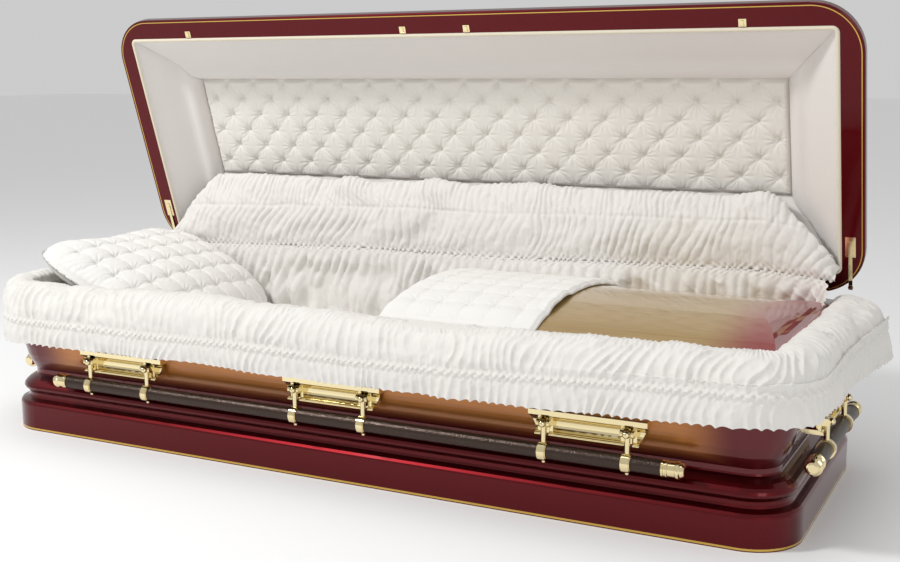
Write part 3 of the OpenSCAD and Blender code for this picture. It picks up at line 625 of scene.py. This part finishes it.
def make_pillow(mats):
    n = 230
    a, b = np.meshgrid(np.linspace(-1, 1, n), np.linspace(-1, 1, n), indexing="ij")
    lx, ly, tall = 0.232, 0.284, 0.064
    corner = (np.abs(a) ** 6 + np.abs(b) ** 6) ** (1 / 6)
    shrink = np.maximum(np.abs(a), np.abs(b)) / np.maximum(corner, 1e-6)
    shrink = shrink * (1 - 0.045 * (1 - np.minimum(np.abs(a), np.abs(b))) * np.maximum(np.abs(a), np.abs(b)))
    x, y = a * lx * shrink, b * ly * shrink
    crown = np.maximum((1 - np.abs(a) ** 3) * (1 - np.abs(b) ** 3), 0) ** 0.36
    lump = 1 + 0.10 * noise(x / 0.16, y / 0.16, 101)
    inner = smooth(crown, 0.35, 0.75)
    edge = np.arctan2(b, a) * 0.26
    gather = 0.0035 * folds(
        edge, crown * 0.1, 0.021, 0.06, 103
    ) * (1 - smooth(crown, 0.4, 0.8)) * smooth(crown, 0.0, 0.2)
    top = tall * crown * lump + quilting(x, y, 0.068, 0.0115) * inner + gather
    bottom = -0.92 * tall * crown * lump - 0.25 * gather
    tilt = math.radians(25)
    c, s = math.cos(tilt), math.sin(tilt)

    def put(z):
        zz = z + 0.012 * noise(x / 0.3, y / 0.3, 105) - 0.10 * np.maximum(x, 0) * np.maximum(x, 0) / lx
        return np.stack([-0.790 + x * c + zz * s, -0.002 + y, 0.366 - x * s + zz * c], -1)

    return pad_object("quilted_pillow", put(top), put(bottom), 0.006, mats["quilt"])


def make_throw(mats):
    x0, x1, r, hang = 0.105, 0.472, 0.022, 0.085
    crest, edge, half = 0.430, 0.378, 0.306
    radius = (half**2 + (crest - edge) ** 2) / (2 * (crest - edge))
    n, m = 210, 200
    v = np.linspace(0, (x1 - x0) + r * math.pi / 2 + hang, n)
    w = np.linspace(-0.297, 0.297, m)
    V, W = np.meshgrid(v, w, indexing="ij")
    flat = x1 - x0
    bend = np.clip((V - flat) / r, 0, math.pi / 2)
    x = np.where(V < flat, x1 - V, x0 - r * np.sin(bend))
    fall = np.where(V < flat, 0, r * (1 - np.cos(bend))) + np.maximum(V - flat - r * math.pi / 2, 0)
    z = crest - radius + np.sqrt(radius**2 - W**2) - fall
    base = np.stack([x, W, z], -1)
    nn = normals(base)
    if nn[:, :, 2].mean() < 0:
        nn = -nn
    puff = quilting(V + 0.012, W, 0.068, 0.0068)
    lifted = (
        0.007 * smooth(noise(W / 0.13, 0, 111), -0.2, 0.8) * (1 - smooth(V, 0.0, 0.05))
        + 0.004 * noise(V / 0.12, W / 0.12, 113) * smooth(V, 0, 0.05)
    )
    inner = smooth(0.297 - np.abs(W), 0.0, 0.07)
    lifted = lifted * inner
    up = 0.0088 + (0.0066 + puff + np.abs(lifted)) * inner
    side = smooth(0.297 - np.abs(W), 0.0, 0.012)
    first = smooth(V, 0.0, 0.010) * smooth(v[-1] - V, 0.0, 0.010)
    thick = 0.0095 * (0.45 + 0.55 * side * first)
    top = base + nn * (up - 0.0095 + thick)[..., None]
    bottom = base + nn * (0.0012 + np.abs(lifted) * 0.9)[..., None]
    ob = pad_object("quilted_throw", top[::-1], bottom[::-1], 0.003, mats["quilt"])
    return ob


# ---------------------------------------------------------------- the lid's interior
def make_tufting(mats):
    n, m = 800, 140
    x = np.linspace(-PANEL_X + 0.0005, PANEL_X - 0.0005, n)
    y = np.linspace(-PANEL_Y + 0.0005, PANEL_Y - 0.0005, m)
    X, Y = np.meshgrid(x, y, indexing="ij")
    px, py, y0 = 0.098, 0.048, -0.1375
    a = (X - 0.005) / px + (Y - y0) / (2 * py)
    b = (X - 0.005) / px - (Y - y0) / (2 * py)
    ka, kb = np.round(a), np.round(b)
    cx, cy = 0.005 + px * (ka + kb) / 2, y0 + py * (ka - kb)
    r, ang = np.hypot(X - cx, Y - cy), np.arctan2(Y - cy, X - cx)
    ga, gb = np.abs(a - ka), np.abs(b - kb)
    valley = np.exp(-ga / 0.085) + np.exp(-gb / 0.085)
    seed = 2.1 * ka + 1.3 * kb
    rays = np.abs(np.sin(6 * ang + 0.9 * np.sin(seed + 2 * ang))) ** 0.6 - 0.6
    star = rays * smooth(r, 0.003, 0.010) * np.exp(-(((r - 0.012) / 0.020) ** 2))
    high = (
        0.0135 - 0.0034 * np.minimum(valley, 1.3) * (0.45 + 0.55 * np.exp(-r / 0.024)) - 0.0085 * np.exp(-r / 0.013)
        - 0.0060 * np.exp(-r / 0.004) + 0.0034 * star + 0.0008 * noise(X / 0.03, Y / 0.03, 121)
    )
    rim = np.minimum(PANEL_X - np.abs(X), PANEL_Y - np.abs(Y))
    high = high * smooth(rim, 0.0, 0.012)
    shut = np.stack([X, Y, LID_Z + PANEL - high], -1)
    cloth = sheet_object("tufted_cloth", to_open(shut), mats["tuft"])
    ends(cloth)
    verts, faces = [], []
    rings, spokes, rad = 5, 12, 0.0042
    for i in range(-30, 31):
        for j in range(-30, 31):
            bx, by = 0.005 + px * (i + j) / 2, y0 + py * (i - j)
            if abs(bx) > PANEL_X - 0.012 or abs(by) > PANEL_Y - 0.006:
                continue
            k = len(verts)
            verts.append((bx, by, LID_Z + PANEL - 0.0002))
            for a_ in range(1, rings):
                w = a_ / (rings - 1) * math.pi / 2
                for b_ in range(spokes):
                    t = 2 * math.pi * b_ / spokes
                    verts.append((
                        bx + rad * math.sin(w) * math.cos(t), by + rad * math.sin(w) * math.sin(t),
                        LID_Z + PANEL + 0.0035 - 0.003 * math.cos(w),
                    ))
            for b_ in range(spokes):
                n2 = (b_ + 1) % spokes
                faces.append((k, k + 1 + n2, k + 1 + b_))
                for a_ in range(rings - 2):
                    o = k + 1 + a_ * spokes
                    faces.append((o + b_, o + n2, o + spokes + n2, o + spokes + b_))
    buttons = mesh_object("tuft_buttons", to_open(np.array(verts)), faces, mats["tuft"])
    ends(buttons)
    return cloth, buttons


def make_coves(mats):
    made = []
    line = np.array([
        (0, 0.0), (0.02, 0.006), (0.10, 0.015), (0.30, 0.036), (0.56, 0.064), (0.68, 0.0715),
        (0.78, 0.0735), (0.87, 0.079), (0.94, 0.089), (0.985, 0.100), (1, 0.110),
    ])
    prof = even(spline(line[None] * (COVE_SIDE, 1), 120), 44)[0]
    for name, sign, long in (("front", -1, True), ("rear", 1, True), ("foot", 1, False), ("head", -1, False)):
        run = COVE_SIDE if long else COVE_END
        reach = LID_X if long else LID_Y
        far = LID_Y if long else LID_X
        other = COVE_END if long else COVE_SIDE
        across, deep = prof[:, 0] / COVE_SIDE * run, prof[:, 1]
        count = 520 if long else 190
        t = np.linspace(-1, 1, count)
        half = reach - COVE_IN - across / run * other
        along = t[:, None] * half
        inn = across[None, :] + 0 * along
        gap = (1 - np.abs(t))[:, None] * half
        sag = (
            0.0022 * np.exp(-gap / 0.0045) * smooth(inn, 0.0, 0.02)
            + 0.0009 * noise(along / 0.11, inn / 0.05, 131 + (long * 2) + sign) * smooth(inn, 0, 0.03)
        )
        sag += 0.0009 * folds(along, inn, 0.016, 0.05, 141) * np.exp(-inn / 0.012)
        depth = deep[None, :] + sag
        edge = far - COVE_IN - inn
        shut = np.stack([along, sign * edge, LID_Z + depth] if long else [sign * edge, along, LID_Z + depth], -1)
        ob = sheet_object(f"cove_{name}", to_open(shut), mats["cove"])
        face_front(ob)
        made.append(ob)
    return made


def face_front(ob):
    """Turns a sheet of the open lid's interior to face out of the lid."""
    out = to_open(np.array([[0, 0, -1.0]])) - to_open(np.zeros((1, 3)))
    total = np.zeros(3)
    for f in ob.data.polygons:
        total += np.array(f.normal) * f.area
    if total @ out[0] < 0:
        ob.data.flip_normals()


# ---------------------------------------------------------------- stage
def area_light(name, where, aim, size, power, colour=(1, 1, 1)):
    data = bpy.data.lights.new(name, "AREA")
    data.shape, data.size, data.size_y = "RECTANGLE", size[0], size[1]
    data.energy, data.color = power, colour
    ob = bpy.data.objects.new(name, data)
    bpy.context.scene.collection.objects.link(ob)
    ob.location = where
    ob.rotation_euler = (Vector(aim) - Vector(where)).to_track_quat("-Z", "Y").to_euler()
    return ob


def make_stage():
    scene = bpy.context.scene
    scene.view_settings.view_transform = "Standard"
    bpy.ops.mesh.primitive_plane_add(size=60, location=(0, 0, 0))
    floor = bpy.context.object
    floor.name = "floor"
    floor.data.materials.append(material("floor", Base_Color=(0.93, 0.93, 0.93, 1), Roughness=0.8)[0])
    world = bpy.data.worlds.new("studio")
    scene.world = world
    world.use_nodes = True
    world.node_tree.nodes["Background"].inputs[0].default_value = (1, 1, 1, 1)
    world.node_tree.nodes["Background"].inputs[1].default_value = 0.60
    area_light("overhead", (0.3, -0.3, 3.6), (0, -0.1, 0.4), (3.0, 1.0), 14)
    area_light("key", (-2.4, -2.3, 3.75), (0, -0.05, 0.6), (0.7, 0.4), 112)
    area_light("fill", (3.2, -2.8, 1.5), (0.3, 0, 0.4), (1.2, 1.8), 16)

    yaw, pitch, roll = math.radians(27.19), math.radians(10.01), math.radians(-0.43)
    fw = Vector((-math.sin(yaw) * math.cos(pitch), math.cos(yaw) * math.cos(pitch), -math.sin(pitch)))
    right = Vector((math.cos(yaw), math.sin(yaw), 0))
    up = right.cross(fw)
    r = math.cos(roll) * right + math.sin(roll) * up
    u = -math.sin(roll) * right + math.cos(roll) * up
    cam_data = bpy.data.cameras.new("camera")
    cam_data.lens = 49.4
    cam = bpy.data.objects.new("camera", cam_data)
    scene.collection.objects.link(cam)
    m = Matrix((r, u, -fw)).transposed().to_4x4()
    m.translation = Vector((1.5018, -2.6822, 0.9584))
    cam.matrix_world = m
    scene.camera = cam


# ---------------------------------------------------------------- add-on
def shade(name, description, hexa):
    """A colour that a user may change."""
    return FloatVectorProperty(
        name=name, description=description, default=linear(hexa), size=4, min=0, max=1, subtype="COLOR"
    )


class CasketSettings(bpy.types.PropertyGroup):
    fullness: FloatProperty(
        name="Gather fullness",
        description="Cut length of the shirred cloth over the run that it is gathered to",
        default=1.3, min=1, max=3, subtype="FACTOR",
    )
    pillow_fill: FloatProperty(
        name="Pillow fill", description="From slack to tight", default=0.7, min=0, max=1, subtype="FACTOR"
    )
    throw_fill: FloatProperty(
        name="Throw fill", description="From slack to tight", default=0.4, min=0, max=1, subtype="FACTOR"
    )
    maroon: shade("Maroon", "Lacquer of the base and the lid", "#5c0a11")
    wall_edge: shade("Wall edge", "Darker paint round the body's copper panels", "#5c0d15")
    copper: shade("Copper", "Brushed middle of the body's walls", "#b27238")
    bronze: shade("Bronze", "Brushed part of the foot panel", "#b8995c")
    foot_end: shade("Foot panel end", "Red that the foot panel fades to", "#9c2a32")
    pinstripe: shade("Pinstripe", "Gold line round the base and the lid", "#d9b45a")
    brass: shade("Brass", "Handles, hinges, hooks and stays", "#ecdcae")
    bar: shade("Handle bar", "Hammered lacquer of the bars", "#40332c")
    cloth: shade("Shirred cloth", "Skirts, ruffle and lining", "#e3e0db")


MATS = {}


def mats():
    if not MATS:
        MATS.update(make_materials())
    return MATS


class Step(bpy.types.Operator):
    bl_options = {"REGISTER", "UNDO"}


class CASKET_OT_paint(Step):
    """Gives the frame's parts their paint, brass and cloth"""

    bl_idname, bl_label = "casket.paint", "Paint frame"

    def execute(self, context):
        paint_frame(mats())
        return {"FINISHED"}


class CASKET_OT_rim(Step):
    """Hangs the shirred roll and frill round the rim"""

    bl_idname, bl_label = "casket.rim", "Rim skirts"

    def execute(self, context):
        roll, frill = make_rim(mats())
        for ob, nodes in ((roll, ("front_skirt", "head_skirt", "foot_skirt")), (frill, ())):
            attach(ob, "casket")
            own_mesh(ob)
            if nodes:
                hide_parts(*nodes)
        return {"FINISHED"}


class CASKET_OT_rear(Step):
    """Stands the ruffle against the lid and hangs the lining"""

    bl_idname, bl_label = "casket.rear", "Ruffle and lining"

    def execute(self, context):
        ruffle, drape = make_ruffle(mats()), make_drape(mats())
        for ob in (ruffle, drape):
            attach(ob, "casket")
        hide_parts("rear_skirt")
        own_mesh(ruffle)
        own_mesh(drape)
        return {"FINISHED"}


class CASKET_OT_quilted(Step):
    """Makes the quilted pillow and throw"""

    bl_idname, bl_label = "casket.quilted", "Pillow and throw"

    def execute(self, context):
        pillow, throw = make_pillow(mats()), make_throw(mats())
        chosen = context.scene.casket
        for ob, node, fill in ((pillow, "pillow", chosen.pillow_fill), (throw, "throw", chosen.throw_fill)):
            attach(ob, "casket")
            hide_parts(node)
        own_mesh(pillow)
        return {"FINISHED"}


class CASKET_OT_lid(Step):
    """Lines the lid with padded coves and the tufted panel"""

    bl_idname, bl_label = "casket.lid", "Lid interior"

    def execute(self, context):
        cloth, buttons = make_tufting(mats())
        coves = make_coves(mats())
        for ob in (cloth, buttons, *coves):
            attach(ob, "lid")
        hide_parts("tufted_panel")
        for ob in coves:
            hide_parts("lid_" + ob.name)
        return {"FINISHED"}


class CASKET_OT_stage(Step):
    """Adds the floor, lights and camera"""

    bl_idname, bl_label = "casket.stage", "Stage"

    def execute(self, context):
        make_stage()
        return {"FINISHED"}


class CASKET_PT_panel(bpy.types.Panel):
    bl_idname, bl_label = "CASKET_PT_panel", "Casket"
    bl_space_type, bl_region_type, bl_category = "VIEW_3D", "UI", "Casket"

    def draw(self, context):
        for prop in CasketSettings.__annotations__:
            self.layout.prop(context.scene.casket, prop)
        for step in STEPS:
            self.layout.operator(step.bl_idname)


STEPS = (CASKET_OT_paint, CASKET_OT_rim, CASKET_OT_rear, CASKET_OT_quilted, CASKET_OT_lid, CASKET_OT_stage)
CLASSES = (CasketSettings, *STEPS, CASKET_PT_panel)


def register():
    for c in CLASSES:
        bpy.utils.register_class(c)
    bpy.types.Scene.casket = bpy.props.PointerProperty(type=CasketSettings)


def unregister():
    del bpy.types.Scene.casket
    for c in reversed(CLASSES):
        bpy.utils.unregister_class(c)


def main():
    register()
    bpy.ops.object.select_all(action="DESELECT")
    bpy.ops.casket.paint()
    bpy.ops.casket.rim()
    bpy.ops.casket.rear()
    bpy.ops.casket.quilted()
    bpy.ops.casket.lid()
    bpy.ops.casket.stage()


if __name__ == "__main__":
    main()
